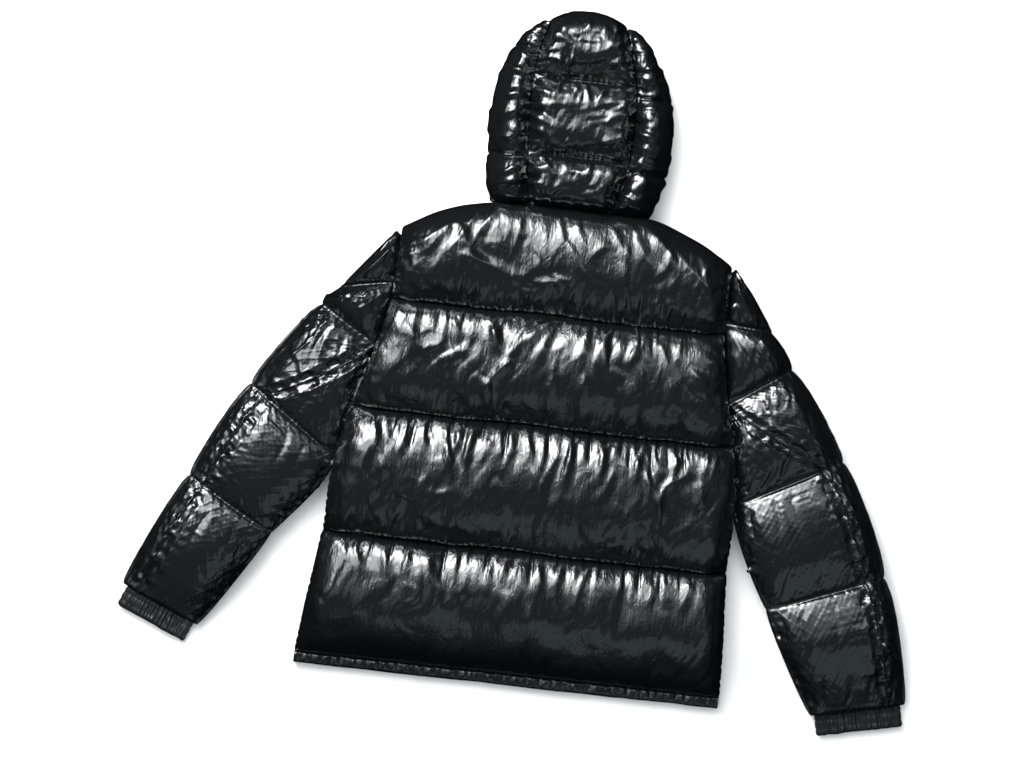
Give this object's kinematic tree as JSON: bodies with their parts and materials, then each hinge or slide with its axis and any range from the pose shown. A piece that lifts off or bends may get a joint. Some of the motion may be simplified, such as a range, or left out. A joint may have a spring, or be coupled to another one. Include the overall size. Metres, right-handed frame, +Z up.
{
  "type": "puffer jacket",
  "caption": "Hooded quilted puffer jacket in glossy black nylon, laid flat on its front with the zip closed, the sleeves spread out and the padded back facing up.",
  "frame": {"origin": "middle of the jacket's bounding box at its base, on the surface it lies on", "axes": "+X to the wearer's right, +Y from the hem to the hood, +Z up, out of the wearer's back"},
  "size_m": [1.1394, 0.9912, 0.0821],
  "materials": {
    "shell_nylon": "glossy wet-look nylon",
    "cuff_elastic": "satin gathered elastic",
    "zip_tape": "matte woven tape",
    "zip_metal": "satin black"
  },
  "bodies": {
    "jacket": {"back": "shell_nylon", "front_left": "shell_nylon", "front_right": "shell_nylon", "hem_back": "shell_nylon", "hem_left": "shell_nylon", "hem_right": "shell_nylon", "sleeve_left_upper": "shell_nylon", "sleeve_left_under": "shell_nylon", "sleeve_right_upper": "shell_nylon", "sleeve_right_under": "shell_nylon", "cuff_left": "cuff_elastic", "cuff_right": "cuff_elastic", "hood_centre": "shell_nylon", "hood_left": "shell_nylon", "hood_right": "shell_nylon", "zip_tape_left": "zip_tape", "zip_tape_right": "zip_tape", "zip_chain": "zip_metal", "zip_box": "zip_metal", "zip_slider": "zip_metal"},
    "pull_tab": {"zip_pull": "zip_metal"}
  },
  "joints": [
    {"name": "pull_tab_hinge", "type": "hinge", "parent": "jacket", "child": "pull_tab", "pos_m": [0.01705, 0.18353, 0.01045], "axis": [1, 0, 0], "range_deg": [-12, 75]}
  ]
}
